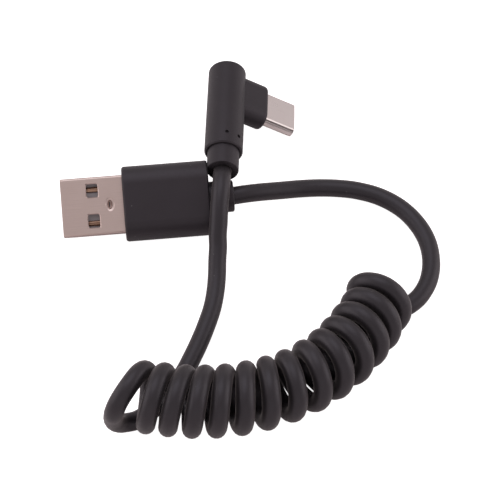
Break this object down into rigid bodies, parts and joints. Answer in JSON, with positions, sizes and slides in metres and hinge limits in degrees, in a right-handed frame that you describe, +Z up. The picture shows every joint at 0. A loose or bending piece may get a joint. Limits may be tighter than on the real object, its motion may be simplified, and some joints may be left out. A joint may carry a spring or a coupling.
{
  "type": "coiled usb c cable",
  "caption": "Short coiled charging cable with a flat USB-A plug at one end and a right-angle USB-C plug at the other, its spring coil lying in a loose curve.",
  "frame": {"origin": "on the table, below the middle of the two plugs", "axes": "+Z up from the table the cable lies on, +X to the right and +Y away from the viewer of the picture"},
  "size_m": [0.0787, 0.0891, 0.0185],
  "materials": {
    "black_rubber": "matte",
    "shell_metal_a": "satin",
    "shell_metal_c": "satin",
    "contact_gold": "satin",
    "insulator": "matte"
  },
  "bodies": {
    "root": {"usb_a_shell": "shell_metal_a", "usb_a_tongue": "insulator", "usb_a_contact_1": "contact_gold", "usb_a_contact_2": "contact_gold", "usb_a_contact_3": "contact_gold", "usb_a_contact_4": "contact_gold", "usb_a_overmold": "black_rubber", "usb_c_shell": "shell_metal_c", "usb_c_insert": "insulator", "usb_c_contacts_upper": "contact_gold", "usb_c_contacts_lower": "contact_gold", "usb_c_overmold": "black_rubber", "usb_c_strain_relief": "black_rubber", "lead_a": "black_rubber", "coil": "black_rubber", "lead_c": "black_rubber"}
  },
  "joints": []
}
